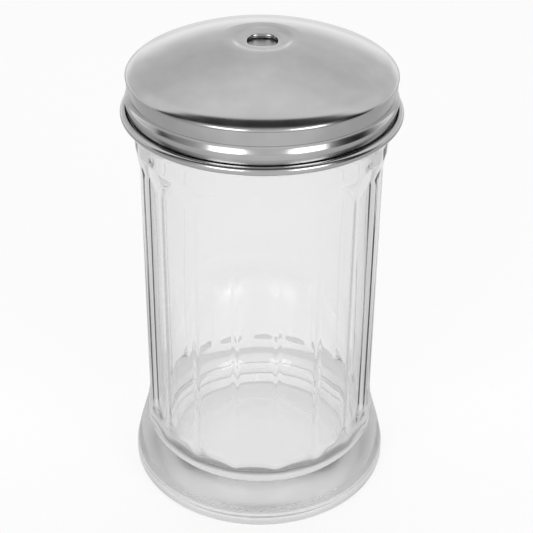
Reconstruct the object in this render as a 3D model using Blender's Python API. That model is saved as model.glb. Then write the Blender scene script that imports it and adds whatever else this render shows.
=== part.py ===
"""Sugar dispenser: a fluted glass jar, a domed steel screw cap, and a weighted flap that hangs under
the pour hole, closes it while the jar stands and falls open when the jar is tipped over."""

import math

import bmesh
import bpy
from mathutils import Matrix, Vector

MM = 0.001
SHARP_ANGLE = 30.0

# All sizes are in millimetres. Heights are above the table, and the jar's axis is Z.

# Jar
FLUTES = 18
BODY_RADIUS = 33.46
FLUTE_TURN = -1.7
RIB_HEIGHT = 0.25
RIB_HALF_ANGLE = 2.6
RIB_OFFSETS = (-RIB_HALF_ANGLE, 0.0, RIB_HALF_ANGLE, 6.3, 10.0, 13.7)
FLUTE_FOOT = (19.4, 21.6)
FLUTE_HEAD = (106.4, 108.3)
HEEL_RADIUS = 37.95
HEEL_TOP = 4.8
HEEL_ROUNDING = 2.2
FLARE_STEPS = (HEEL_TOP + 0.4, 8.5, 12.0, 15.5)
REST_RING_INNER = 30.5
PUNT_RADIUS = 27.0
PUNT_HEIGHT = 1.2
PUNT_CROWN = 4.4
FLARE_SWELL = 4.55
FLARE_HEIGHTS = (1.0, 26.0)
COLLAR_RADIUS = 34.5
COLLAR_HEIGHTS = (99.5, 107.0)
PANEL_STEPS = (*FLUTE_FOOT, 24.0, 28.0, COLLAR_HEIGHTS[0], 103.0, *FLUTE_HEAD)
COLLAR_TOP = 113.2
NECK_RADIUS = 33.6
NECK_ROOT = 114.6
LIP_TOP = 128.7
LIP_ROUNDING = 1.5
BORE_RADIUS = 30.3
FLOOR_HEIGHT = 6.6
FLOOR_ROUNDING = 8.0
FLOOR_CROWN = 0.4

# Cap, pressed from one sheet
CAP_SEGMENTS = 48
SHEET = 0.5
SKIRT_RADIUS = 36.2
CURL_RADIUS = 1.15
CURL_HEIGHT = 116.45
CURL_TIP_ANGLE = 108.0
CURL_STEPS = 8
CREST_RADIUS = 7.6
CREST_HEIGHT = 136.6
DOME_SLOPE = 0.087
DOME_BEND = 0.0077
DOME_EDGE = 30.6

# Stretches of the cap's profile, as radius and height: up the outside, then down the inside
BEAD_PROFILE = ((SKIRT_RADIUS, 120.15), (36.45, 120.65), (36.6, 121.2), (36.3, 121.95), (35.8, 122.5))
BAND_PROFILE = ((36.05, 122.9), (36.05, 126.77), (36.25, 127.07))
KNEE_PROFILE = ((35.85, 127.5), (35.2, 128.1), (34.1, 128.85), (32.6, 129.6))
DISH_PROFILE = ((6.7, 136.38), (5.6, 135.92))
UNDER_DISH = ((5.45, 135.38), (6.6, 135.85))
UNDER_KNEE = ((32.3, 129.15), (33.8, 128.4), (34.9, 127.65), (35.55, 126.37))
UNDER_BEAD = ((35.55, 122.9), (35.3, 122.5), (35.95, 121.75), (36.1, 121.2), (35.7, 120.15))

# Pour hole: a square with bowed sides, and its turned-down edge as distance from it and height
HOLE_HALF = 3.9
HOLE_POWER = 2.7
HOLE_EDGE = ((0.5, 135.72), (0.12, 135.6), (0.0, 135.27), (0.0, 134.62), (SHEET, 134.62), (0.6, 135.12))

# Flap and what carries it
GAP = 0.3
PIVOT = (0.0, 7.5, 133.0)
PIN_RADIUS = 0.6
PIN_HOLE_RADIUS = 0.72
PIN_HEAD_RADIUS = 1.05
PIN_HEAD_HEIGHT = 0.5
CRADLE_HALF = 6.9
CRADLE_WIDTH = 5.0
CRADLE_FOOT_TIP = (15.8, 133.6)
CRADLE_FOOT_ROOT = 134.8
CRADLE_WEB = 124.6
PLATE_RISE = 1.05
PLATE_HALF_WIDTH = 5.2
PLATE_BOW_RADIUS = 6.4
PLATE_BOW_MIDDLE = -6.4
EAR_HALF_WIDTH = 1.3
TAIL_HALF_WIDTH = 3.2
TAIL_LENGTH = 9.6
TAIL_DROP = math.radians(42.0)
WEIGHT_PLACE = 5.4
WEIGHT_RADIUS = 3.6
WEIGHT_HEIGHT = 3.6
WEIGHT_CHAMFER = 0.4
RIVET_RADIUS = 0.9
RIVET_HOLE_RADIUS = 1.2
RIVET_HEAD_RADIUS = 1.9
RIVET_HEAD_HEIGHT = 0.65
BEND_RADIUS = 0.6


def clear_scene():
    for old in list(bpy.data.objects):
        bpy.data.objects.remove(old, do_unlink=True)


def make_material(name, colour, roughness, metallic, transmission=0.0):
    material = bpy.data.materials.new(name)
    material.use_nodes = True
    shader = material.node_tree.nodes["Principled BSDF"]
    shader.inputs["Base Color"].default_value = (*colour, 1.0)
    shader.inputs["Roughness"].default_value = roughness
    shader.inputs["Metallic"].default_value = metallic
    shader.inputs["Transmission Weight"].default_value = transmission
    return material


def add_frame(name, place, parent=None):
    """An empty on a joint's axis, which the pieces of a moving body hang from."""
    frame = bpy.data.objects.new(name, None)
    frame.location = Vector(place) * MM
    frame.parent = parent
    bpy.context.collection.objects.link(frame)
    return frame


def add_piece(name, bm, material, parent=None):
    """Turn a shape drawn in millimetres into a named object in metres."""
    bm.transform(Matrix.Scale(MM, 4))
    mesh = bpy.data.meshes.new(name)
    bm.to_mesh(mesh)
    bm.free()
    if material:
        mesh.materials.append(material)
        mesh.shade_smooth()
        mesh.set_sharp_from_angle(angle=math.radians(SHARP_ANGLE))
    piece = bpy.data.objects.new(name, mesh)
    piece.parent = parent
    bpy.context.collection.objects.link(piece)
    return piece


def ease(u):
    """A soft ramp from 0 to 1."""
    u = min(1.0, max(0.0, u))
    return (1.0 - math.cos(math.pi * u)) / 2.0


def arc(centre, radius, start, end, steps):
    """Points of a profile's round stretch, as (radius, height) pairs; angles in degrees from outward."""
    points = []
    for i in range(steps + 1):
        angle = math.radians(start + (end - start) * i / steps)
        points.append((centre[0] + radius * math.cos(angle), centre[1] + radius * math.sin(angle)))
    return points


def bridge(bm, lower, upper):
    for i in range(len(lower)):
        j = (i + 1) % len(lower)
        bm.faces.new((lower[i], lower[j], upper[j], upper[i]))


def cap_off(bm, ring, height, upward):
    centre = bm.verts.new((0.0, 0.0, height))
    for i in range(len(ring)):
        j = (i + 1) % len(ring)
        corners = (ring[i], ring[j], centre) if upward else (ring[j], ring[i], centre)
        bm.faces.new(corners)


def loft(rings, angles):
    """Skin rings of vertices: each ring is a function from an angle to (radius, height)."""
    bm = bmesh.new()
    loops = []
    for ring in rings:
        loop = []
        for angle in angles:
            radius, height = ring(angle)
            loop.append(bm.verts.new((radius * math.cos(angle), radius * math.sin(angle), height)))
        loops.append(loop)
    for lower, upper in zip(loops, loops[1:]):
        bridge(bm, lower, upper)
    return bm, loops


def round_ring(radius, height):
    return lambda angle: (radius, height)


def turned(profile, segments, closed):
    """A turned solid. Its profile runs up the outside; it ends on the axis, or closes on itself."""
    angles = [math.tau * i / segments for i in range(segments)]
    bm, loops = loft([round_ring(*point) for point in profile], angles)
    if closed:
        bridge(bm, loops[-1], loops[0])
    else:
        cap_off(bm, loops[0], profile[0][1], upward=False)
        cap_off(bm, loops[-1], profile[-1][1], upward=True)
    return bm


# Fluted jar


def body_radius(height):
    """The jar's radius along a rib: foot flare, straight body, smooth collar."""
    low, high = FLARE_HEIGHTS
    flare = FLARE_SWELL * (1.0 - ease((height - low) / (high - low)))
    low, high = COLLAR_HEIGHTS
    collar = (COLLAR_RADIUS - BODY_RADIUS) * ease((height - low) / (high - low))
    return BODY_RADIUS + flare + collar


def panel_depth(angle, height):
    """How deep a panel lies behind its ribs: it stands upright and ends in a steep slope."""
    pitch = 360.0 / FLUTES
    from_rib = (math.degrees(angle) + 90.0 - FLUTE_TURN) % pitch - pitch / 2.0
    level = min(max(height, FLUTE_FOOT[1]), FLUTE_HEAD[0])
    depth = RIB_HEIGHT + body_radius(level) - BODY_RADIUS
    foot = (height - FLUTE_FOOT[0]) / (FLUTE_FOOT[1] - FLUTE_FOOT[0])
    head = (FLUTE_HEAD[1] - height) / (FLUTE_HEAD[1] - FLUTE_HEAD[0])
    return depth * ease(abs(from_rib) / RIB_HALF_ANGLE) * min(1.0, max(0.0, min(foot, head)))


def fluted_ring(height):
    return lambda angle: (body_radius(height) - panel_depth(angle, height), height)


def glass_jar(material):
    punt_middle = (PUNT_RADIUS / 2.0, PUNT_CROWN - (PUNT_CROWN - PUNT_HEIGHT) / 4.0)
    heel = arc((HEEL_RADIUS - HEEL_ROUNDING, HEEL_ROUNDING), HEEL_ROUNDING, -90.0, 0.0, 3)
    foot = [punt_middle, (PUNT_RADIUS, PUNT_HEIGHT), (REST_RING_INNER, 0.0), *heel, (HEEL_RADIUS, HEEL_TOP)]
    neck = [
        (COLLAR_RADIUS, COLLAR_TOP),
        (NECK_RADIUS, NECK_ROOT),
        *arc((NECK_RADIUS - LIP_ROUNDING, LIP_TOP - LIP_ROUNDING), LIP_ROUNDING, 0.0, 90.0, 3),
        *arc((BORE_RADIUS + LIP_ROUNDING, LIP_TOP - LIP_ROUNDING), LIP_ROUNDING, 120.0, 180.0, 2),
    ]
    well_centre = (BORE_RADIUS - FLOOR_ROUNDING, FLOOR_HEIGHT + FLOOR_ROUNDING)
    well = arc(well_centre, FLOOR_ROUNDING, 0.0, -90.0, 5)

    angles = []
    for flute in range(FLUTES):
        rib = FLUTE_TURN - 90.0 + 360.0 / FLUTES * (flute + 0.5)
        angles += [math.radians(rib + offset) for offset in RIB_OFFSETS]

    rings = [round_ring(*point) for point in foot]
    rings += [fluted_ring(height) for height in FLARE_STEPS + PANEL_STEPS]
    rings += [round_ring(*point) for point in neck + well]
    bm, loops = loft(rings, angles)
    cap_off(bm, loops[0], PUNT_CROWN, upward=False)
    cap_off(bm, loops[-1], FLOOR_HEIGHT + FLOOR_CROWN, upward=True)
    return add_piece("glass_jar", bm, material)


# Domed cap


def dome_height(radius):
    reach = radius - CREST_RADIUS
    return CREST_HEIGHT - DOME_SLOPE * reach - DOME_BEND * reach * reach


def hole_reach(angle):
    """Distance from the axis to the edge of the pour hole, a square with bowed sides."""
    across, along = abs(math.cos(angle)), abs(math.sin(angle))
    return HOLE_HALF / (across**HOLE_POWER + along**HOLE_POWER) ** (1.0 / HOLE_POWER)


def hole_ring(margin, height):
    return lambda angle: (hole_reach(angle) + margin, height)


def dome_cap(material, frame):
    curl_centre = (SKIRT_RADIUS - SHEET + CURL_RADIUS, CURL_HEIGHT)
    dome_radii = [DOME_EDGE + (CREST_RADIUS - DOME_EDGE) * i / 6 for i in range(7)]
    full_turn = 360.0

    outside = arc(curl_centre, CURL_RADIUS - SHEET, CURL_TIP_ANGLE + full_turn, 180.0, CURL_STEPS)
    outside += BEAD_PROFILE + BAND_PROFILE + KNEE_PROFILE
    outside += [(radius, dome_height(radius)) for radius in dome_radii]
    outside += DISH_PROFILE
    inside = list(UNDER_DISH)
    inside += [(radius, dome_height(radius) - SHEET) for radius in reversed(dome_radii)]
    inside += UNDER_KNEE + UNDER_BEAD
    inside += arc(curl_centre, CURL_RADIUS, 180.0, CURL_TIP_ANGLE + full_turn, CURL_STEPS)

    rings = [round_ring(*point) for point in outside]
    rings += [hole_ring(*point) for point in HOLE_EDGE]
    rings += [round_ring(*point) for point in inside]

    angles = [math.tau * i / CAP_SEGMENTS for i in range(CAP_SEGMENTS)]
    bm, loops = loft(rings, angles)
    bridge(bm, loops[-1], loops[0])
    bmesh.ops.translate(bm, verts=bm.verts, vec=(0.0, 0.0, -LIP_TOP))
    return add_piece("dome_cap", bm, material, frame)


# Hinge


def add_cutter(name, radius, length, parent, direction):
    bm = bmesh.new()
    bmesh.ops.create_cone(
        bm, cap_ends=True, segments=16, radius1=radius, radius2=radius, depth=length
    )
    cutter = add_piece(name, bm, None, parent)
    cutter.rotation_euler = direction
    cutter.hide_render = True
    cutter.display_type = "WIRE"
    return cutter


def cut(piece, cutter):
    modifier = piece.modifiers.new(cutter.name, "BOOLEAN")
    modifier.operation = "DIFFERENCE"
    modifier.solver = "EXACT"
    modifier.object = cutter


def fold_from_sheet(piece):
    """Round the bends of a folded sheet, then give it the sheet's thickness."""
    bends = piece.modifiers.new("bends", "BEVEL")
    bends.width = BEND_RADIUS * MM
    bends.segments = 2
    bends.limit_method = "ANGLE"
    bends.angle_limit = math.radians(20.0)
    sheet = piece.modifiers.new("sheet", "SOLIDIFY")
    sheet.thickness = SHEET * MM
    sheet.offset = 0.0
    sheet.use_even_offset = True


def flap_cradle(material, cap_frame, pin_cutter):
    """A strap whose feet are spot-welded under the dome, with legs that carry the hinge pin."""
    tip_x, tip_z = CRADLE_FOOT_TIP
    half_path = [(tip_x, tip_z), (CRADLE_HALF, CRADLE_FOOT_ROOT), (CRADLE_HALF, CRADLE_WEB)]
    path = half_path + [(-x, z) for x, z in reversed(half_path)]
    bm = bmesh.new()
    rows = []
    for y in (PIVOT[1] - CRADLE_WIDTH / 2.0, PIVOT[1] + CRADLE_WIDTH / 2.0):
        rows.append([bm.verts.new((x, y, z - LIP_TOP)) for x, z in path])
    for i in range(len(path) - 1):
        bm.faces.new((rows[0][i], rows[0][i + 1], rows[1][i + 1], rows[1][i]))
    cradle = add_piece("flap_cradle", bm, material, cap_frame)
    fold_from_sheet(cradle)
    cut(cradle, pin_cutter)
    return cradle


def hinge_pin(material, cap_frame):
    """Wire axle with a peened head outside each leg."""
    head_start = CRADLE_HALF + SHEET / 2.0 + GAP
    head_end = head_start + PIN_HEAD_HEIGHT
    half = [
        (PIN_RADIUS, 0.0),
        (PIN_RADIUS, head_start),
        (PIN_HEAD_RADIUS, head_start + 0.05),
        (PIN_HEAD_RADIUS, head_end - 0.25),
        (PIN_HEAD_RADIUS * 0.6, head_end),
    ]
    profile = [(radius, -height) for radius, height in reversed(half)] + half[1:]
    pin = add_piece("hinge_pin", turned(profile, 16, closed=False), material, cap_frame)
    pin.location = (Vector(PIVOT) - Vector((0.0, 0.0, LIP_TOP))) * MM
    pin.rotation_euler = (0.0, math.radians(90.0), 0.0)
    return pin


# Flap, drawn about the hinge axis


def tail_point(along, across, off=0.0):
    """A point on the tail: along it from the bend, across it, and off its outer face."""
    y = EAR_HALF_WIDTH + along * math.cos(TAIL_DROP) + off * math.sin(TAIL_DROP)
    z = PLATE_RISE - along * math.sin(TAIL_DROP) + off * math.cos(TAIL_DROP)
    return (across, y, z)


def flap_plate(material, flap_frame, pin_cutter, rivet_cutter):
    """One stamped sheet: the lid under the hole, two ears on the pin, and a tail bent down."""
    bow_start = math.degrees(math.asin(PLATE_HALF_WIDTH / PLATE_BOW_RADIUS))
    bow = arc((0.0, PLATE_BOW_MIDDLE), PLATE_BOW_RADIUS, -90.0 - bow_start, -90.0 + bow_start, 10)
    bm = bmesh.new()
    front = [bm.verts.new((x, y, PLATE_RISE)) for x, y in bow]
    corners = {}
    for side in (-1, 1):
        x = side * PLATE_HALF_WIDTH
        corners[side] = [bm.verts.new((x, y, PLATE_RISE)) for y in (-EAR_HALF_WIDTH, EAR_HALF_WIDTH)]
    root = [bm.verts.new(tail_point(0.0, side * TAIL_HALF_WIDTH)) for side in (1, -1)]
    bm.faces.new([*front, *corners[1], *root, *reversed(corners[-1])])

    for side in (-1, 1):
        x = side * PLATE_HALF_WIDTH
        round_end = arc((0.0, 0.0), EAR_HALF_WIDTH, 0.0, -180.0, 8)
        ear = [bm.verts.new((x, y, z)) for y, z in round_end]
        bm.faces.new([*corners[side], *ear])

    tip_middle = TAIL_LENGTH - TAIL_HALF_WIDTH
    tip = arc((0.0, tip_middle), TAIL_HALF_WIDTH, 180.0, 0.0, 8)
    tail = [bm.verts.new(tail_point(along, across)) for across, along in tip]
    bm.faces.new([*root, *tail])
    bmesh.ops.recalc_face_normals(bm, faces=bm.faces)

    plate = add_piece("flap_plate", bm, material, flap_frame)
    fold_from_sheet(plate)
    cut(plate, pin_cutter)
    cut(plate, rivet_cutter)
    return plate


def place_on_tail(piece):
    """Set a turned piece on the tail, its axis square to the tail's face."""
    piece.location = Vector(tail_point(WEIGHT_PLACE, 0.0)) * MM
    piece.rotation_euler = (-TAIL_DROP, 0.0, 0.0)


def counterweight(material, flap_frame):
    top = -(SHEET / 2.0 + GAP)
    bottom = top - WEIGHT_HEIGHT
    profile = [
        (RIVET_HOLE_RADIUS, bottom),
        (WEIGHT_RADIUS - WEIGHT_CHAMFER, bottom),
        (WEIGHT_RADIUS, bottom + WEIGHT_CHAMFER),
        (WEIGHT_RADIUS, top - WEIGHT_CHAMFER),
        (WEIGHT_RADIUS - WEIGHT_CHAMFER, top),
        (RIVET_HOLE_RADIUS, top),
    ]
    weight = add_piece("counterweight", turned(profile, 24, closed=True), material, flap_frame)
    place_on_tail(weight)
    return weight


def counterweight_rivet(material, flap_frame):
    upper = SHEET / 2.0 + GAP
    lower = -(SHEET / 2.0 + GAP + WEIGHT_HEIGHT + GAP)
    crown = RIVET_HEAD_RADIUS * 0.6
    profile = [
        (crown, lower - RIVET_HEAD_HEIGHT),
        (RIVET_HEAD_RADIUS, lower - 0.3),
        (RIVET_HEAD_RADIUS, lower),
        (RIVET_RADIUS, lower + 0.02),
        (RIVET_RADIUS, upper - 0.02),
        (RIVET_HEAD_RADIUS, upper),
        (RIVET_HEAD_RADIUS, upper + 0.3),
        (crown, upper + RIVET_HEAD_HEIGHT),
    ]
    shape = turned(profile, 16, closed=False)
    rivet = add_piece("counterweight_rivet", shape, material, flap_frame)
    place_on_tail(rivet)
    return rivet


def main():
    clear_scene()
    glass = make_material("pressed_glass", (0.93, 0.95, 0.95), 0.03, 0.0, transmission=1.0)
    steel = make_material("pressed_stainless_sheet", (0.62, 0.61, 0.6), 0.22, 1.0)
    dull_steel = make_material("stamped_stainless", (0.5, 0.5, 0.49), 0.35, 1.0)
    wire = make_material("drawn_steel_wire", (0.56, 0.56, 0.55), 0.3, 1.0)
    slug = make_material("turned_steel", (0.45, 0.45, 0.44), 0.4, 1.0)

    cap_frame = add_frame("cap_frame", (0.0, 0.0, LIP_TOP))
    flap_place = (PIVOT[0], PIVOT[1], PIVOT[2] - LIP_TOP)
    flap_frame = add_frame("flap_frame", flap_place, cap_frame)

    across = (0.0, math.radians(90.0), 0.0)
    pin_cutter = add_cutter("pin_hole", PIN_HOLE_RADIUS, 3.0 * CRADLE_HALF, flap_frame, across)
    square_to_tail = (-TAIL_DROP, 0.0, 0.0)
    rivet_cutter = add_cutter("rivet_hole", RIVET_HOLE_RADIUS, 2.0, flap_frame, square_to_tail)
    rivet_cutter.location = Vector(tail_point(WEIGHT_PLACE, 0.0)) * MM

    glass_jar(glass)
    dome_cap(steel, cap_frame)
    flap_cradle(dull_steel, cap_frame, pin_cutter)
    hinge_pin(wire, cap_frame)
    flap_plate(dull_steel, flap_frame, pin_cutter, rivet_cutter)
    counterweight(slug, flap_frame)
    counterweight_rivet(wire, flap_frame)


main()
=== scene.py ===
import math

import bmesh
import bpy
from mathutils import Matrix, Vector


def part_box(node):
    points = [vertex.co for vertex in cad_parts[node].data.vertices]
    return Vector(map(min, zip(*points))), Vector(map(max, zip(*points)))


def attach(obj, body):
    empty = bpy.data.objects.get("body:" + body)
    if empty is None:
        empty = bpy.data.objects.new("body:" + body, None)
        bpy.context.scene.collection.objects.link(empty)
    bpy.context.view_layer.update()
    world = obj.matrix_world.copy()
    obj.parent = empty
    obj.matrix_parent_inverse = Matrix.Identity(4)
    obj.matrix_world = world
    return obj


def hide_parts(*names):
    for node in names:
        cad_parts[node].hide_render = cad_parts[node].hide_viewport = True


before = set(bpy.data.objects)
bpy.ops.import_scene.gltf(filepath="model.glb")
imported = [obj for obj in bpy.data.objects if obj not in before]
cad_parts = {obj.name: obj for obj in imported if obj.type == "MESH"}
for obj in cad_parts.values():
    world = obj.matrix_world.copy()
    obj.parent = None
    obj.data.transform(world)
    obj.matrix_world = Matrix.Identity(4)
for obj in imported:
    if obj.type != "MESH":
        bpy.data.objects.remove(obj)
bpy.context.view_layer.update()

# Looks of a fluted glass sugar dispenser with a domed steel cap and a weighted flap under its pour hole.
# Sizes are in millimetres and heights are above the table, with the jar's axis on Z, as in the solids.

MM = 0.001
SHARP_ANGLE = math.radians(40.0)

# Jar's outside; the heel's lean and the shoulder's edge go inward and up
HEEL_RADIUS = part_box("glass_jar")[1][0] / MM
HEEL_TOP = 4.8
HEEL_ROUNDING = 2.2
HEEL_LEAN = (0.02, 0.6)
BODY_RADIUS = 33.46
FLARE_SWELL = 4.55
FLARE_HEIGHTS = (1.0, 26.0)
COLLAR_RADIUS = 34.5
COLLAR_HEIGHTS = (99.5, 107.0)
COLLAR_TOP = 113.2
SHOULDER_EDGE = (0.25, 0.7)
NECK_RADIUS = 33.6
NECK_ROOT = 114.6
LIP_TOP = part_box("glass_jar")[1][2] / MM
LIP_ROUNDING = 1.5
ROW_HEIGHT = 0.25

# Panels and the ribs between them, and where the panels run out at foot and head. Angles are in degrees;
# a ring's points lie close over a rib and wider over a panel.
FLUTES = 18
FLUTE_TURN = -1.7
FLUTE_FOOT = (17.6, 21.4)
FLUTE_HEAD = (106.6, 108.0)
RIB_HEIGHT = 0.12
RIB_HALF_ANGLE = 2.2
RIB_SPREAD = 14.0
RIB_OFFSETS = (-2.5, -2.1, -1.7, -1.3, -0.9, -0.45, 0.0, 0.45, 0.9, 1.3, 1.7, 2.1, 2.5)
PANEL_OFFSETS = range(4, 18, 2)

# Thread on the neck
THREAD_HEIGHT = 1.2
THREAD_WIDTH = 2.6
THREAD_PITCH = 4.6
THREAD_START = 117.2
THREAD_TURNS = 1.6
THREAD_FADE = 12.0
THREAD_FLANK = 1.6

# Jar's inside and underside
BORE_RADIUS = 30.3
BORE_WAVE = 0.04
BORE_STEP = 4.0
WELL_WIDTH = 14.0
WELL_DEPTH = 11.2
FLOOR_HEIGHT = 6.6
FLOOR_CROWN = 0.4
FLOOR_RING = 8.0
REST_RING_INNER = 30.5
REST_RING_SLOPE = (29.0, 0.5)
PUNT_RADIUS = 27.0
PUNT_HEIGHT = 1.2
PUNT_CROWN = 4.4
PUNT_RINGS = 14

# Cap's sheet, from the curl up to the dome
CAP_SEGMENTS = 240
SHEET = 0.5
CURL_RADIUS = 1.15
CURL_HEIGHT = 116.45
CURL_TIP_ANGLE = 360.0 + 98.0
SKIRT_RADIUS = 36.2
SKIRT_START = 118.0
GROOVE_RADIUS = 35.8
GROOVE_HEIGHT = 122.5
BAND_RADIUS = 36.05
CORNER_RADIUS = 36.25
CORNER_HEIGHT = 126.9
KNEE = ((32.6, 129.6), (34.1, 128.85), (35.2, 128.1), (35.93, 127.45))
DOME_EDGE = 30.6
DOME_RINGS = 28
CREST_RADIUS = 7.6
CREST_HEIGHT = 136.6
DOME_SLOPE = 0.087
DOME_BEND = 0.0077

# Bead pressed into the skirt: each point lies this far outward and up from the fullest one
BEAD_RADIUS = 36.6
BEAD_HEIGHT = 120.35
BEAD_ROOT = (-0.36, -1.9)
BEAD_OUTLINE = (
    (-0.3, -1.5), (-0.17, -0.9), (-0.06, -0.4), (0.0, 0.0), (-0.12, 0.45), (-0.42, 1.0), (-0.68, 1.55),
)

# Shallow dish round the pour hole: points inward from its rim, and up from the rim or from its floor
DISH_RADIUS = 10.5
DISH_FLOOR = 135.72
DISH_FROM_RIM = ((0.0, 0.0), (1.0, 0.01), (2.3, -0.12))
DISH_FROM_FLOOR = ((3.5, 0.1), (4.4, 0.02))

# Pour hole: its size, and points outward from its edge and up from the dish's face or back
HOLE_HALF = 3.9
HOLE_POWER = 2.7
LIP_BOTTOM = 134.62
HOLE_FACE = ((0.7, -0.01), (0.34, -0.13), (0.1, -0.4))
HOLE_BACK = ((0.1, -0.3), (0.5, -0.08), (0.9, 0.0))
LIP_EDGE = 0.06

# Turned pieces of the flap, measured along each one's own axis; a head is a radius and a height
TURNED_SEGMENTS = 64
PIVOT = (0.0, 7.5, 133.0)
PIN_RADIUS = 0.6
PIN_HEAD = (1.05, 0.5)
PIN_HEAD_START = 7.45
TAIL_ROOT = (1.3, 1.05)
TAIL_DROP = math.radians(42.0)
WEIGHT_PLACE = 5.4
WEIGHT_RADIUS = 3.6
WEIGHT_ENDS = (-4.15, -0.55)
WEIGHT_HOLE = 1.2
WEIGHT_CHAMFER = 0.4
RIVET_RADIUS = 0.9
RIVET_HEAD = (1.9, 0.65)
RIVET_ENDS = (-4.45, 0.55)

# Glass: its grey per millimetre, a slow sway of the pressed wall, and the grain and frost that the
# mould's bottom plate leaves
GLASS_GREY = 0.024
SWAY_SIZE = 9.0
SWAY_STRETCH = 4.0
SWAY_DEPTH = 0.05
GRAIN_SIZE = 0.6
GRAIN_DEPTH = 0.03
GRAIN_TOP = 1.4
FROST_MIDDLE = 0.24
FROST_RING = 0.5

# Steel: real polishing lines are about 0.05 mm wide and wouldn't show, so they are drawn five times
# wider. A line round an axis goes on for a sixth of a radian.
LINE_WIDTH = 0.25
LINES_AROUND = 6.0
ROLLING_LENGTH = 6.0
HAZE_SIZE = 6.0
HAZE_RANGE = (0.35, 0.65)

# Paper floor: its half side in metres, its glow and the share of its look that the glow makes up, and
# the grey that steel shows of it, from in front of the object over its sides to behind it
FLOOR_HALF = 3.0
FLOOR_GLOW = 1.05
GLOW_SHARE = 0.8
FLOOR_SHEEN = ((0.0, 0.84), (0.06, 0.88), (0.3, 0.64), (0.5, 0.58), (0.7, 0.55), (0.85, 0.62), (1.0, 1.0))

# Floor as glass shows it: a pool of light behind the jar that starts a little way out, with a low level
# past its edge. Directions go from -1 in front of the jar to 1 behind it.
POOL_EDGE = (0.6, 0.9)
POOL_LOW = 0.62
POOL_START = (38.0, 60.0)

# Nearer, the floor is plain under the foot; from a ring near the foot's edge outward it turns from a
# shade in front to bright behind
POOL_UNDER = 1.0
POOL_RING = (30.0, 34.0)
POOL_TURN = (-0.5, 0.1)
POOL_SHADE = 0.3
POOL_BACK = 1.08

# Studio's light in a half turn, from the horizon behind over a dark ceiling strip to the one in front
STUDIO_LIGHT = (
    (0.0, 1.35), (0.03, 1.25), (0.06, 1.05), (0.09, 0.86), (0.135, 0.88), (0.19, 0.88),
    (0.244, 0.92), (0.29, 1.02), (0.33, 1.02), (0.37, 1.08), (0.40, 1.15), (0.44, 1.15),
    (0.465, 0.06), (0.60, 0.04), (0.66, 0.5), (0.75, 0.75), (1.0, 0.8),
)
STUDIO_THROUGH_GLASS = 0.62

# Studio's darker corners, which the steel shows: a direction, its reach in degrees, its depth
DARK_CORNERS = (
    ((-0.33, 0.72, 0.60), 24.0, 0.12),
    ((0.31, 0.63, 0.71), 18.0, 0.1),
    ((0.95, -0.20, 0.25), 32.0, 0.95),
    ((-0.95, -0.25, 0.25), 30.0, 0.5),
)

# Softboxes: distances in metres and angles in degrees, round from the camera's side to the right
SOFTBOXES = {"softbox_left": -28.0, "softbox_right": 38.0}
SOFTBOX_RISE = 26.0
SOFTBOX_SIDE = 0.36
SOFTBOX_DISTANCE = 0.8
SOFTBOX_TARGET = (0.0, 0.0, 0.1)
SOFTBOX_RADIANCE = 3.5

# Camera, with its place in metres and its focal length in pixels of a square picture
PICTURE_SIDE = 533
FOCAL_PIXELS = 1321.3
SENSOR_WIDTH = 36.0
CAMERA_PLACE = (0.0, -0.3228, 0.2687)
CAMERA_PITCH = math.radians(32.14)
CAMERA_YAW = math.radians(0.293)
CAMERA_ROLL = math.radians(0.605)


# Shapes


def ease(u):
    """A soft ramp from 0 to 1."""
    u = min(1.0, max(0.0, u))
    return (1.0 - math.cos(math.pi * u)) / 2.0


def ease_between(height, limits):
    """The soft ramp between two heights."""
    return ease((height - limits[0]) / (limits[1] - limits[0]))


def arc(centre, radius, start, end, steps):
    """A profile's round stretch, as (radius, height) pairs; angles in degrees from outward."""
    points = []
    for i in range(steps + 1):
        angle = math.radians(start + (end - start) * i / steps)
        points.append((centre[0] + radius * math.cos(angle), centre[1] + radius * math.sin(angle)))
    return points


def spread(start, end, step):
    """Heights from start up to, but without, end, at about a step apart."""
    count = max(1, round((end - start) / step))
    return [start + (end - start) * i / count for i in range(count)]


def between(points, steps):
    """More points along a smooth curve through the given ones (Catmull-Rom)."""
    result = []
    for i in range(len(points) - 1):
        a, b = points[max(0, i - 1)], points[i]
        c, d = points[i + 1], points[min(len(points) - 1, i + 2)]
        for k in range(steps):
            t = k / steps
            point = []
            for p, q, r, s in zip(a, b, c, d):
                bend = (2 * p - 5 * q + 4 * r - s) * t * t + (3 * q - p - 3 * r + s) * t**3
                point.append(0.5 * (2 * q + (r - p) * t + bend))
            result.append(tuple(point))
    result.append(points[-1])
    return result


def bridge(bm, lower, upper):
    for i in range(len(lower)):
        j = (i + 1) % len(lower)
        bm.faces.new((lower[i], lower[j], upper[j], upper[i]))


def loft(rings, angles):
    """Skin rings of vertices: each ring is a function from an angle to (radius, height)."""
    bm = bmesh.new()
    loops = []
    for ring in rings:
        loop = []
        for angle in angles:
            radius, height = ring(angle)
            loop.append(bm.verts.new((radius * math.cos(angle), radius * math.sin(angle), height)))
        loops.append(loop)
    for lower, upper in zip(loops, loops[1:]):
        bridge(bm, lower, upper)
    return bm, loops


def cap_off(bm, ring, height, upward):
    """Close a shape's end with a fan of faces round a point on the axis."""
    centre = bm.verts.new((0.0, 0.0, height))
    for i in range(len(ring)):
        j = (i + 1) % len(ring)
        bm.faces.new((ring[i], ring[j], centre) if upward else (ring[j], ring[i], centre))


def round_ring(radius, height):
    return lambda angle: (radius, height)


def round_rings(points):
    return [round_ring(*point) for point in points]


def even_angles(count):
    return [math.tau * i / count for i in range(count)]


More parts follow.
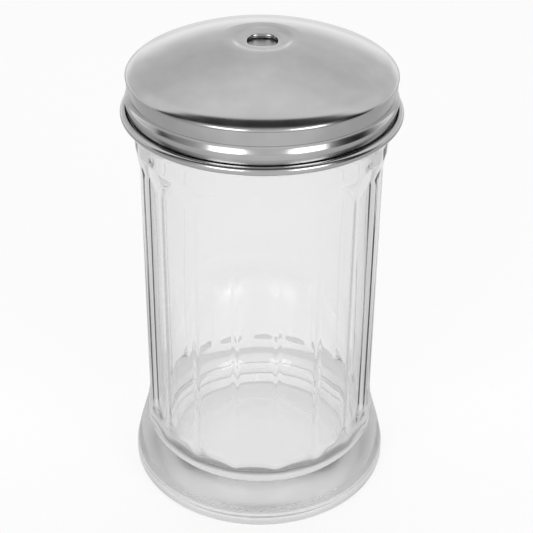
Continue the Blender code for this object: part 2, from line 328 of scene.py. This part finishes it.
def add_piece(name, bm, material, body, node, place=None):
    """Turn a shape in millimetres into a smooth piece that rides on a body in place of a node."""
    bm.transform(Matrix.Scale(MM, 4))
    mesh = bpy.data.meshes.new(name)
    bm.to_mesh(mesh)
    bm.free()
    mesh.materials.append(material)
    mesh.shade_smooth()
    mesh.set_sharp_from_angle(angle=SHARP_ANGLE)
    piece = bpy.data.objects.new(name, mesh)
    bpy.context.collection.objects.link(piece)
    if place:
        piece.matrix_world = place
    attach(piece, body)
    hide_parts(node)


# Glass jar


def body_radius(height):
    """The jar's radius along a rib: foot flare, straight body, smooth collar."""
    flare = FLARE_SWELL * (1.0 - ease_between(height, FLARE_HEIGHTS))
    collar = (COLLAR_RADIUS - BODY_RADIUS) * ease_between(height, COLLAR_HEIGHTS)
    return BODY_RADIUS + flare + collar


def panel_depth(angle, height):
    """How deep the panel between two ribs lies here: it stands upright and runs out at both ends.

    Where it cuts deeper, into the flare and the collar, the rib beside it is wider and gentler."""
    pitch = 360.0 / FLUTES
    from_rib = (math.degrees(angle) + 90.0 - FLUTE_TURN) % pitch - pitch / 2.0
    level = min(max(height, FLUTE_FOOT[1]), FLUTE_HEAD[0])
    depth = RIB_HEIGHT + body_radius(level) - BODY_RADIUS
    half_angle = RIB_HALF_ANGLE + RIB_SPREAD * (depth - RIB_HEIGHT)
    foot = (height - FLUTE_FOOT[0]) / (FLUTE_FOOT[1] - FLUTE_FOOT[0])
    head = (FLUTE_HEAD[1] - height) / (FLUTE_HEAD[1] - FLUTE_HEAD[0])
    return depth * ease(abs(from_rib) / half_angle) * ease(min(foot, head))


def fluted_ring(height):
    return lambda angle: (body_radius(height) - panel_depth(angle, height), height)


def thread_rise(angle, height):
    """The raised thread on the neck, which fades in and out at its ends."""
    rise = 0.0
    turn = (angle % math.tau) / math.tau
    for lap in range(math.ceil(THREAD_TURNS)):
        along = turn + lap
        if along > THREAD_TURNS:
            continue
        off = abs(height - THREAD_START - THREAD_PITCH * along) / (THREAD_WIDTH / 2.0)
        fade = ease(THREAD_FADE * along) * ease(THREAD_FADE * (THREAD_TURNS - along))
        if off < 1.0:
            rise = max(rise, THREAD_HEIGHT * fade * ease(THREAD_FLANK * (1.0 - off)))
    return rise


def neck_ring(height):
    return lambda angle: (NECK_RADIUS + thread_rise(angle, height), height)


def bore_ring(radius, height):
    """The inside wall, which a plunger shapes: never quite even."""

    def ring(angle):
        sway = math.sin(3.0 * angle + 0.05 * height) + math.sin(5.0 * angle - 0.08 * height + 1.0)
        return radius + BORE_WAVE * sway, height

    return ring


def jar_foot():
    """The hollow underside, the resting ring and the heel."""
    points = []
    for i in range(1, PUNT_RINGS):
        share = i / PUNT_RINGS
        points.append((PUNT_RADIUS * share, PUNT_CROWN - (PUNT_CROWN - PUNT_HEIGHT) * share * share))
    points += between(((PUNT_RADIUS, PUNT_HEIGHT), REST_RING_SLOPE, (REST_RING_INNER, 0.0)), 4)
    heel_centre = (HEEL_RADIUS - HEEL_ROUNDING, HEEL_ROUNDING)
    points += arc(heel_centre, HEEL_ROUNDING, -90.0, 0.0, 10)
    inward, up = HEEL_LEAN
    points += [(HEEL_RADIUS, HEEL_TOP - up), (HEEL_RADIUS - inward, HEEL_TOP)]
    return round_rings(points)


def jar_body():
    """The flared foot, the fluted body and the collar; rings stand closer where the wall bends."""
    stretches = (
        (HEEL_TOP + ROW_HEIGHT, FLUTE_FOOT[0], 0.8),
        (*FLUTE_FOOT, 0.2),
        (FLUTE_FOOT[1], FLARE_HEIGHTS[1], 0.5),
        (FLARE_HEIGHTS[1], COLLAR_HEIGHTS[0], 2.5),
        (COLLAR_HEIGHTS[0], FLUTE_HEAD[0], 0.5),
        (*FLUTE_HEAD, 0.2),
        (FLUTE_HEAD[1], COLLAR_TOP, 1.2),
    )
    rings = []
    for low, high, step in stretches:
        rings += [fluted_ring(height) for height in spread(low, high, step)]
    return rings


def jar_neck():
    """The shoulder under the cap's curl, the threaded neck and the rounded lip."""
    inward, up = SHOULDER_EDGE
    edge = (COLLAR_RADIUS - inward, COLLAR_TOP + up)
    lip_base = LIP_TOP - LIP_ROUNDING
    rings = round_rings(between(((COLLAR_RADIUS, COLLAR_TOP), edge, (NECK_RADIUS, NECK_ROOT)), 4))
    rings += [neck_ring(height) for height in spread(NECK_ROOT + ROW_HEIGHT, lip_base, ROW_HEIGHT)]
    rings += round_rings(arc((NECK_RADIUS - LIP_ROUNDING, lip_base), LIP_ROUNDING, 0.0, 90.0, 8))
    rings += round_rings(arc((BORE_RADIUS + LIP_ROUNDING, lip_base), LIP_ROUNDING, 90.0, 180.0, 8))
    return rings


def jar_inside():
    """The bore from the lip down, the rounded well and the gently crowned floor."""
    well_top = FLOOR_HEIGHT + WELL_DEPTH
    heights = spread(well_top + BORE_STEP / 2.0, LIP_TOP - LIP_ROUNDING, BORE_STEP)
    rings = [bore_ring(BORE_RADIUS, height) for height in reversed(heights)]
    for across, down in arc((0.0, 0.0), 1.0, 0.0, -90.0, 24):
        rings.append(bore_ring(BORE_RADIUS + WELL_WIDTH * (across - 1.0), well_top + WELL_DEPTH * down))
    rings.append(round_ring(FLOOR_RING, FLOOR_HEIGHT + 0.75 * FLOOR_CROWN))
    return rings


def glass_jar(material):
    pitch = 360.0 / FLUTES
    angles = []
    for flute in range(FLUTES):
        for offset in (*RIB_OFFSETS, *PANEL_OFFSETS):
            angles.append(math.radians(FLUTE_TURN - 90.0 + pitch * (flute + 0.5) + offset))
    rings = jar_foot() + jar_body() + jar_neck() + jar_inside()
    bm, loops = loft(rings, angles)
    cap_off(bm, loops[0], PUNT_CROWN, upward=False)
    cap_off(bm, loops[-1], FLOOR_HEIGHT + FLOOR_CROWN, upward=True)
    add_piece("jar_glass", bm, material, "jar", "glass_jar")


# Cap


def dome_height(radius):
    reach = radius - CREST_RADIUS
    return CREST_HEIGHT - DOME_SLOPE * reach - DOME_BEND * reach * reach


def dome_radii():
    """Radii of the dome's rings, from its edge in to the dish."""
    return [DOME_EDGE + (DISH_RADIUS - DOME_EDGE) * i / DOME_RINGS for i in range(DOME_RINGS + 1)]


def bead_outline(steps):
    """The bead and the groove above it."""
    points = [(BEAD_RADIUS + out, BEAD_HEIGHT + up) for out, up in BEAD_OUTLINE]
    points += [(GROOVE_RADIUS, GROOVE_HEIGHT), (BAND_RADIUS, GROOVE_HEIGHT + 0.4)]
    return between(points, steps)


def curl_centre():
    return SKIRT_RADIUS - SHEET + CURL_RADIUS, CURL_HEIGHT


def cap_outside():
    """The sheet's outer face: out of the curl, up the skirt and over the dome into the dish."""
    points = arc(curl_centre(), CURL_RADIUS - SHEET, CURL_TIP_ANGLE, 180.0, 24)
    points += [(SKIRT_RADIUS, SKIRT_START), (BEAD_RADIUS + BEAD_ROOT[0], BEAD_HEIGHT + BEAD_ROOT[1])]
    points += bead_outline(5)
    points += [(BAND_RADIUS, CORNER_HEIGHT - 0.45)]
    corner = (
        (BAND_RADIUS + 0.03, CORNER_HEIGHT - 0.3),
        (CORNER_RADIUS, CORNER_HEIGHT),
        *reversed(KNEE),
        (DOME_EDGE, dome_height(DOME_EDGE)),
    )
    points += between(corner, 6)[:-1]
    points += [(radius, dome_height(radius)) for radius in dome_radii()]
    rim = dome_height(DISH_RADIUS)
    dish = [(DISH_RADIUS - inward, rim + up) for inward, up in DISH_FROM_RIM]
    dish += [(DISH_RADIUS - inward, DISH_FLOOR + up) for inward, up in DISH_FROM_FLOOR]
    points += between(dish, 5)[1:]
    return round_rings(points)


def hole_reach(angle):
    """Distance from the axis to the edge of the pour hole, a square with bowed sides."""
    bow = abs(math.cos(angle)) ** HOLE_POWER + abs(math.sin(angle)) ** HOLE_POWER
    return HOLE_HALF / bow ** (1.0 / HOLE_POWER)


def hole_ring(margin, height):
    return lambda angle: (hole_reach(angle) + margin, height)


def hole_edge():
    """The sheet turned down into the hole: its face, its cut lip and its back."""
    face = [(out, DISH_FLOOR + up) for out, up in HOLE_FACE]
    lip = [(LIP_EDGE, LIP_BOTTOM), (SHEET - LIP_EDGE, LIP_BOTTOM), (SHEET, LIP_BOTTOM + 0.05)]
    back = [(SHEET + out, DISH_FLOOR - SHEET + up) for out, up in HOLE_BACK]
    points = between([*face, (0.0, LIP_BOTTOM + 0.1)], 5) + lip + between(back, 3)
    return [hole_ring(*point) for point in points]


def cap_inside():
    """The sheet's inner face: from the dish down to the curl's outer side."""
    inward, up = DISH_FROM_RIM[-1]
    points = [(DISH_RADIUS - 3.4, DISH_FLOOR - SHEET + 0.13)]
    points += [(DISH_RADIUS - inward, dome_height(DISH_RADIUS) + up - SHEET)]
    points += [(radius, dome_height(radius) - SHEET) for radius in reversed(dome_radii())]
    corner = (
        (DOME_EDGE, dome_height(DOME_EDGE) - SHEET),
        *((radius - 0.3, height - 0.45) for radius, height in KNEE[:3]),
        (BAND_RADIUS - SHEET, CORNER_HEIGHT - 0.7),
    )
    points += between(corner, 4)[1:]
    points += [(radius - SHEET, height) for radius, height in reversed(bead_outline(4))]
    points += arc(curl_centre(), CURL_RADIUS, 180.0, CURL_TIP_ANGLE, 32)
    return round_rings(points)


def cap_shell(material):
    bm, loops = loft(cap_outside() + hole_edge() + cap_inside(), even_angles(CAP_SEGMENTS))
    bridge(bm, loops[-1], loops[0])
    add_piece("cap_shell", bm, material, "cap", "dome_cap")


# Turned pieces, each drawn about its own axis


def turned(profile, closed):
    """A turned shape. Its profile runs up the outside; it ends on the axis, or closes on itself."""
    bm, loops = loft(round_rings(profile), even_angles(TURNED_SEGMENTS))
    if closed:
        bridge(bm, loops[-1], loops[0])
    else:
        cap_off(bm, loops[0], profile[0][1], upward=False)
        cap_off(bm, loops[-1], profile[-1][1], upward=True)
    return bm


def peened_head(shank, radius, height):
    """A head hammered over the end of a wire: a short rim, then a crown that ends near the axis."""
    crown = ((1.0, 0.3), (0.93, 0.62), (0.66, 0.88), (0.12, 1.0))
    points = [(radius * across, height * up) for across, up in crown]
    return [(shank, 0.0), *between([(radius, 0.03), *points], 4)]


def hinge_pin(material):
    """Wire axle with a peened head outside each leg of the cradle."""
    half = [(radius, PIN_HEAD_START + height) for radius, height in peened_head(PIN_RADIUS, *PIN_HEAD)]
    profile = [(radius, -height) for radius, height in reversed(half)] + half
    place = Matrix.Translation(Vector(PIVOT) * MM) @ Matrix.Rotation(math.radians(90.0), 4, "Y")
    add_piece("hinge_pin_wire", turned(profile, False), material, "cap", "hinge_pin", place)


def tail_place():
    """Where the flap's tail carries its counterweight, with the axis square to the tail."""
    back = TAIL_ROOT[0] + WEIGHT_PLACE * math.cos(TAIL_DROP)
    up = TAIL_ROOT[1] - WEIGHT_PLACE * math.sin(TAIL_DROP)
    point = Vector(PIVOT) + Vector((0.0, back, up))
    return Matrix.Translation(point * MM) @ Matrix.Rotation(-TAIL_DROP, 4, "X")


def counterweight(material):
    """A bored slug with its edges broken."""
    low, high = WEIGHT_ENDS
    side = ((WEIGHT_RADIUS, low + WEIGHT_CHAMFER), (WEIGHT_RADIUS, high - WEIGHT_CHAMFER))
    face = WEIGHT_RADIUS - WEIGHT_CHAMFER
    profile = ((WEIGHT_HOLE, low), (face, low), *side, (face, high), (WEIGHT_HOLE, high))
    shape = turned(profile, True)
    place = tail_place()
    add_piece("counterweight_slug", shape, material, "flap", "counterweight", place)


def counterweight_rivet(material):
    low, high = RIVET_ENDS
    crown = peened_head(RIVET_RADIUS, *RIVET_HEAD)
    profile = [(radius, low - height) for radius, height in reversed(crown)]
    profile += [(radius, high + height) for radius, height in crown]
    shape = turned(profile, False)
    place = tail_place()
    add_piece(
        "counterweight_rivet_wire", shape, material, "flap", "counterweight_rivet", place
    )


# Materials


def colour(code):
    """An sRGB hex colour, such as C0C0BE, as the linear colour that a shader takes."""
    parts = [int(code[i : i + 2], 16) / 255.0 for i in (0, 2, 4)]
    linear = [p / 12.92 if p <= 0.04045 else ((p + 0.055) / 1.055) ** 2.4 for p in parts]
    return (*linear, 1.0)


def new_material(name):
    material = bpy.data.materials.new(name)
    material.use_nodes = True
    material.node_tree.nodes.clear()
    return material, material.node_tree


def add_node(tree, kind, sockets=None, **settings):
    """Add a node; sockets holds a value or a link for each of its inputs, by name or place.

    A Mix node's places are 0 for the share, 2 and 3 for its numbers, 6 and 7 for its colours."""
    node = tree.nodes.new(kind)
    for key, value in settings.items():
        setattr(node, key, value)
    for key, value in (sockets or {}).items():
        if isinstance(value, bpy.types.NodeSocket):
            tree.links.new(value, node.inputs[key])
        else:
            node.inputs[key].default_value = value
    return node


def set_stops(ramp, stops):
    """Give a grey ramp its stops, each a place from 0 to 1 and a level."""
    elements = ramp.color_ramp.elements
    while len(elements) < len(stops):
        elements.new(0.5)
    for element, (place, level) in zip(elements, stops):
        element.position = place
        element.color = (level, level, level, 1.0)


def from_axis(tree, place):
    """How far a point lies from the object's own z axis."""
    flat = add_node(tree, "ShaderNodeVectorMath", {0: place, 1: (1.0, 1.0, 0.0)}, operation="MULTIPLY")
    reach = add_node(tree, "ShaderNodeVectorMath", {0: flat.outputs[0]}, operation="LENGTH")
    return reach.outputs["Value"]


def underside(tree, place, reach):
    """1 on the hollow underside and the resting ring, 0 on the rest of the jar."""
    top = add_node(
        tree, "ShaderNodeMapRange",
        {
            "Value": reach,
            "From Min": REST_RING_INNER * MM,
            "From Max": (REST_RING_INNER + 1.0) * MM,
            "To Min": (PUNT_CROWN + 0.5) * MM,
            "To Max": GRAIN_TOP * MM,
        },
    )
    height = add_node(tree, "ShaderNodeSeparateXYZ", {0: place}).outputs[2]
    return add_node(tree, "ShaderNodeMath", {0: height, 1: top.outputs[0]}, operation="LESS_THAN").outputs[0]


def pressed_glass():
    """Soda-lime glass, pressed and fire-polished: clear, glossy, with a slow sway that bends what
    shows through it. The underside, which stood on the mould's bottom plate, is grained and frosty."""
    material, tree = new_material("pressed_soda_lime_glass")
    place = add_node(tree, "ShaderNodeTexCoord").outputs["Object"]
    reach = from_axis(tree, place)
    under = underside(tree, place, reach)
    frost = add_node(
        tree, "ShaderNodeMapRange",
        {
            "Value": reach,
            "From Min": (REST_RING_INNER - 3.0) * MM,
            "From Max": (REST_RING_INNER + 1.0) * MM,
            "To Min": FROST_MIDDLE,
            "To Max": FROST_RING,
        },
    )
    rough = add_node(tree, "ShaderNodeMath", {0: under, 1: frost.outputs[0]}, operation="MULTIPLY")
    upright = add_node(tree, "ShaderNodeMapping", {"Vector": place, "Scale": (1.0, 1.0, 1.0 / SWAY_STRETCH)})
    sway = add_node(
        tree, "ShaderNodeTexNoise",
        {"Vector": upright.outputs[0], "Scale": 1.0 / (SWAY_SIZE * MM), "Detail": 1.0},
    )
    bent = add_node(
        tree, "ShaderNodeBump",
        {"Height": sway.outputs["Fac"], "Strength": 1.0, "Distance": SWAY_DEPTH * MM},
    )
    noise = add_node(
        tree, "ShaderNodeTexNoise", {"Vector": place, "Scale": 1.0 / (GRAIN_SIZE * MM), "Detail": 1.0}
    )
    grain = add_node(tree, "ShaderNodeMath", {0: under, 1: noise.outputs["Fac"]}, operation="MULTIPLY")
    bump = add_node(
        tree, "ShaderNodeBump",
        {
            "Height": grain.outputs[0],
            "Normal": bent.outputs[0],
            "Strength": 1.0,
            "Distance": GRAIN_DEPTH * MM,
        },
    )
    shader = add_node(
        tree, "ShaderNodeBsdfPrincipled",
        {
            "Base Color": colour("FCFCFC"),
            "Roughness": rough.outputs[0],
            "IOR": 1.52,
            "Transmission Weight": 1.0,
            "Normal": bump.outputs[0],
        },
    )
    grey = add_node(
        tree, "ShaderNodeVolumeAbsorption", {"Color": colour("C8C8C8"), "Density": GLASS_GREY / MM}
    )
    add_node(tree, "ShaderNodeOutputMaterial", {"Surface": shader.outputs[0], "Volume": grey.outputs[0]})
    return material


def turning_lines(tree, place):
    """Texture space, one unit to a line, whose lines run round the z axis."""
    lines = 1.0 / (LINE_WIDTH * MM)
    x, y, z = add_node(tree, "ShaderNodeSeparateXYZ", {0: place}).outputs
    turn = add_node(tree, "ShaderNodeMath", {0: y, 1: x}, operation="ARCTAN2")
    out = add_node(tree, "ShaderNodeMath", {0: from_axis(tree, place), 1: lines}, operation="MULTIPLY")
    up = add_node(tree, "ShaderNodeMath", {0: z, 1: lines}, operation="MULTIPLY")
    around = add_node(tree, "ShaderNodeMath", {0: turn.outputs[0], 1: LINES_AROUND}, operation="MULTIPLY")
    space = {0: out.outputs[0], 1: up.outputs[0], 2: around.outputs[0]}
    return add_node(tree, "ShaderNodeCombineXYZ", space).outputs[0]


def rolling_lines(tree, place):
    """Texture space whose lines run along y, as a strip's rolling marks do."""
    lines = 1.0 / (LINE_WIDTH * MM)
    scale = (lines, 1.0 / (ROLLING_LENGTH * MM), lines)
    return add_node(tree, "ShaderNodeMapping", {"Vector": place, "Scale": scale}).outputs[0]


def steel(name, dull, bright, rough, lines_at, groove):
    """Neutral stainless steel: colour and gloss drift with a haze, over fine lines a groove deep."""
    material, tree = new_material(name)
    place = add_node(tree, "ShaderNodeTexCoord").outputs["Object"]
    space = lines_at(tree, place)
    lines = add_node(tree, "ShaderNodeTexNoise", {"Vector": space, "Scale": 1.0, "Detail": 3.0})
    haze = add_node(
        tree, "ShaderNodeTexNoise", {"Vector": place, "Scale": 1.0 / (HAZE_SIZE * MM), "Detail": 4.0}
    ).outputs["Fac"]
    patch = add_node(
        tree, "ShaderNodeMapRange", {"Value": haze, "From Min": HAZE_RANGE[0], "From Max": HAZE_RANGE[1]}
    )
    tint = add_node(
        tree, "ShaderNodeMix", {0: patch.outputs[0], 6: colour(dull), 7: colour(bright)}, data_type="RGBA"
    )
    gloss = add_node(tree, "ShaderNodeMapRange", {"Value": haze, "To Min": rough[0], "To Max": rough[1]})
    bump = add_node(
        tree, "ShaderNodeBump", {"Height": lines.outputs["Fac"], "Strength": 0.25, "Distance": groove * MM}
    )
    shader = add_node(
        tree, "ShaderNodeBsdfPrincipled",
        {
            "Base Color": tint.outputs[2],
            "Metallic": 1.0,
            "Roughness": gloss.outputs[0],
            "Normal": bump.outputs[0],
        },
    )
    add_node(tree, "ShaderNodeOutputMaterial", {"Surface": shader.outputs[0]})
    return material


def pressed_sheet():
    """Cap: stainless sheet, pressed and then polished as it turned, with a satin haze."""
    return steel("pressed_stainless_sheet", "B5B5B5", "BBBBBB", (0.14, 0.22), turning_lines, 0.01)


def stamped_strip():
    """Flap and cradle: stainless strip as rolled, stamped and left unpolished, its base colour darker than
    the cap's as painted shade on the flap under the pour hole.
    """
    # Painted shade: these base colours are darker than the cap's so that the flap under the pour hole reads
    # dark.
    return steel("stamped_stainless_strip", "A2A2A1", "ADADAC", (0.25, 0.38), rolling_lines, 0.015)


def drawn_wire():
    """Pin and rivet: drawn stainless wire, bright, its heads peened over."""
    return steel("drawn_stainless_wire", "ABABAA", "B4B4B3", (0.18, 0.28), turning_lines, 0.006)


def turned_slug():
    """Counterweight: bar turned on a lathe, with the tool's marks left on it."""
    return steel("turned_stainless_slug", "9C9C9B", "A5A5A4", (0.2, 0.32), turning_lines, 0.03)


# Stage


def floor_through_glass(tree, reach, behind):
    """How bright glass shows the floor, by distance from the object and by how far behind it lies."""
    shade = add_node(
        tree, "ShaderNodeMapRange",
        {
            "Value": behind,
            "From Min": POOL_TURN[0],
            "From Max": POOL_TURN[1],
            "To Min": POOL_SHADE,
            "To Max": POOL_BACK,
        },
    )
    near = add_node(
        tree, "ShaderNodeMapRange",
        {
            "Value": reach,
            "From Min": POOL_RING[0] * MM,
            "From Max": POOL_RING[1] * MM,
            "To Min": POOL_UNDER,
            "To Max": shade.outputs[0],
        },
    )
    pool = add_node(
        tree, "ShaderNodeMapRange",
        {
            "Value": behind,
            "From Min": POOL_EDGE[0],
            "From Max": POOL_EDGE[1],
            "To Min": POOL_LOW,
            "To Max": 1.0,
        },
    )
    clear = add_node(
        tree, "ShaderNodeMapRange",
        {"Value": reach, "From Min": POOL_START[0] * MM, "From Max": POOL_START[1] * MM},
    )
    levels = {0: clear.outputs[0], 2: near.outputs[0], 3: pool.outputs[0]}
    return add_node(tree, "ShaderNodeMix", levels, data_type="FLOAT").outputs[0]


def floor_in_steel(tree, behind):
    """How bright steel shows the floor, from in front of the object to behind it."""
    facing = add_node(tree, "ShaderNodeMapRange", {"Value": behind, "From Min": -1.0, "From Max": 1.0})
    sheen = add_node(tree, "ShaderNodeValToRGB", {0: facing.outputs[0]})
    set_stops(sheen, FLOOR_SHEEN)
    return sheen.outputs[0]


def paper_sweep():
    """White paper that glows toward the camera, glass and steel, and keeps a soft shadow."""
    material, tree = new_material("white_paper_sweep")
    path = add_node(tree, "ShaderNodeLightPath").outputs
    place = add_node(tree, "ShaderNodeTexCoord").outputs["Object"]
    parts = add_node(tree, "ShaderNodeSeparateXYZ", {0: place})
    reach = add_node(tree, "ShaderNodeVectorMath", {0: place}, operation="LENGTH").outputs["Value"]
    behind = add_node(tree, "ShaderNodeMath", {0: parts.outputs[1], 1: reach}, operation="DIVIDE").outputs[0]
    level = add_node(
        tree, "ShaderNodeMix",
        {0: path["Is Glossy Ray"], 2: 1.0, 3: floor_in_steel(tree, behind)},
        data_type="FLOAT",
    )
    level = add_node(
        tree, "ShaderNodeMix",
        {0: path["Is Transmission Ray"], 2: level.outputs[0], 3: floor_through_glass(tree, reach, behind)},
        data_type="FLOAT",
    )
    light = add_node(tree, "ShaderNodeMath", {0: level.outputs[0], 1: FLOOR_GLOW}, operation="MULTIPLY")
    glow = add_node(
        tree, "ShaderNodeEmission", {"Color": (1.0, 1.0, 1.0, 1.0), "Strength": light.outputs[0]}
    )
    seen = path["Is Camera Ray"]
    for ray in ("Is Glossy Ray", "Is Transmission Ray"):
        seen = add_node(tree, "ShaderNodeMath", {0: seen, 1: path[ray]}, operation="MAXIMUM").outputs[0]
    share = add_node(tree, "ShaderNodeMath", {0: seen, 1: GLOW_SHARE}, operation="MULTIPLY")
    paper = add_node(tree, "ShaderNodeBsdfDiffuse", {"Color": colour("F4F4F4")})
    mix = add_node(
        tree, "ShaderNodeMixShader", {0: share.outputs[0], 1: paper.outputs[0], 2: glow.outputs[0]}
    )
    add_node(tree, "ShaderNodeOutputMaterial", {"Surface": mix.outputs[0]})
    return material


def studio_floor():
    """A plain square of paper that the foot rests on."""
    half = FLOOR_HALF
    corners = [(-half, -half, 0.0), (half, -half, 0.0), (half, half, 0.0), (-half, half, 0.0)]
    mesh = bpy.data.meshes.new("floor")
    mesh.from_pydata(corners, [], [(0, 1, 2, 3)])
    mesh.materials.append(paper_sweep())
    floor = bpy.data.objects.new("floor", mesh)
    bpy.context.collection.objects.link(floor)


def dark_corners(tree, way, light):
    """Dim the studio's light toward each of its darker corners."""
    for toward, reach, depth in DARK_CORNERS:
        aim = Vector(toward).normalized()
        near = add_node(tree, "ShaderNodeVectorMath", {0: way, 1: aim}, operation="DOT_PRODUCT")
        keep = add_node(
            tree, "ShaderNodeMapRange",
            {
                "Value": near.outputs["Value"],
                "From Min": math.cos(math.radians(reach)),
                "From Max": 1.0,
                "To Min": 1.0,
                "To Max": 1.0 - depth,
            },
            interpolation_type="SMOOTHSTEP",
        )
        dim = add_node(tree, "ShaderNodeVectorMath", {0: light, "Scale": keep.outputs[0]}, operation="SCALE")
        light = dim.outputs[0]
    return light


def studio_world():
    """Soft light all round with a dark ceiling strip; paler through glass, plain white to the camera."""
    world = bpy.data.worlds.new("studio")
    bpy.context.scene.world = world
    world.use_nodes = True
    tree = world.node_tree
    tree.nodes.clear()
    way = add_node(tree, "ShaderNodeTexCoord").outputs["Generated"]
    parts = add_node(tree, "ShaderNodeSeparateXYZ", {0: way}).outputs
    over = add_node(tree, "ShaderNodeMath", {0: parts[2], 1: parts[1]}, operation="ARCTAN2")
    half_turn = add_node(
        tree, "ShaderNodeMath", {0: over.outputs[0], 1: 1.0 / math.pi}, operation="MULTIPLY"
    )
    ramp = add_node(tree, "ShaderNodeValToRGB", {0: half_turn.outputs[0]})
    set_stops(ramp, STUDIO_LIGHT)
    light = dark_corners(tree, way, ramp.outputs[0])
    pale = add_node(
        tree, "ShaderNodeMapRange",
        {"Value": ramp.outputs[0], "To Min": STUDIO_THROUGH_GLASS, "To Max": 1.0},
        clamp=False,
    )
    path = add_node(tree, "ShaderNodeLightPath").outputs
    shown = add_node(
        tree, "ShaderNodeMix",
        {0: path["Is Transmission Ray"], 6: light, 7: pale.outputs[0]},
        data_type="RGBA",
    )
    studio = add_node(tree, "ShaderNodeBackground", {"Color": shown.outputs[2], "Strength": 1.0})
    white = add_node(tree, "ShaderNodeBackground", {"Color": (1.0, 1.0, 1.0, 1.0), "Strength": 1.0})
    mix = add_node(
        tree, "ShaderNodeMixShader", {0: path["Is Camera Ray"], 1: studio.outputs[0], 2: white.outputs[0]}
    )
    add_node(tree, "ShaderNodeOutputWorld", {"Surface": mix.outputs[0]})


def softbox(name, azimuth):
    """A square lamp that faces the cap."""
    a, e = math.radians(azimuth), math.radians(SOFTBOX_RISE)
    way = Vector((math.sin(a) * math.cos(e), -math.cos(a) * math.cos(e), math.sin(e)))
    lamp = bpy.data.lights.new(name, "AREA")
    lamp.shape = "SQUARE"
    lamp.size = SOFTBOX_SIDE
    lamp.energy = SOFTBOX_RADIANCE * math.pi * SOFTBOX_SIDE**2
    holder = bpy.data.objects.new(name, lamp)
    holder.location = Vector(SOFTBOX_TARGET) + way * SOFTBOX_DISTANCE
    holder.rotation_euler = way.to_track_quat("Z", "Y").to_euler()
    bpy.context.collection.objects.link(holder)


def camera():
    forward = Vector(
        (
            math.sin(CAMERA_YAW) * math.cos(CAMERA_PITCH),
            math.cos(CAMERA_YAW) * math.cos(CAMERA_PITCH),
            -math.sin(CAMERA_PITCH),
        )
    )
    level = Vector((math.cos(CAMERA_YAW), -math.sin(CAMERA_YAW), 0.0))
    upright = level.cross(forward)
    right = math.cos(CAMERA_ROLL) * level + math.sin(CAMERA_ROLL) * upright
    up = math.cos(CAMERA_ROLL) * upright - math.sin(CAMERA_ROLL) * level
    data = bpy.data.cameras.new("camera")
    data.sensor_fit = "HORIZONTAL"
    data.sensor_width = SENSOR_WIDTH
    data.lens = SENSOR_WIDTH * FOCAL_PIXELS / PICTURE_SIDE
    data.clip_start = 0.01
    eye = bpy.data.objects.new("camera", data)
    turn = Matrix((right, up, -forward)).transposed().to_4x4()
    eye.matrix_world = Matrix.Translation(CAMERA_PLACE) @ turn
    bpy.context.collection.objects.link(eye)
    bpy.context.scene.camera = eye


bpy.context.scene.view_settings.view_transform = "Standard"
camera()
studio_floor()
studio_world()
for name, azimuth in SOFTBOXES.items():
    softbox(name, azimuth)

glass_jar(pressed_glass())
cap_shell(pressed_sheet())
strip = stamped_strip()
for name in ("flap_cradle", "flap_plate"):
    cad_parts[name].data.materials.clear()
    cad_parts[name].data.materials.append(strip)
wire = drawn_wire()
hinge_pin(wire)
counterweight(turned_slug())
counterweight_rivet(wire)
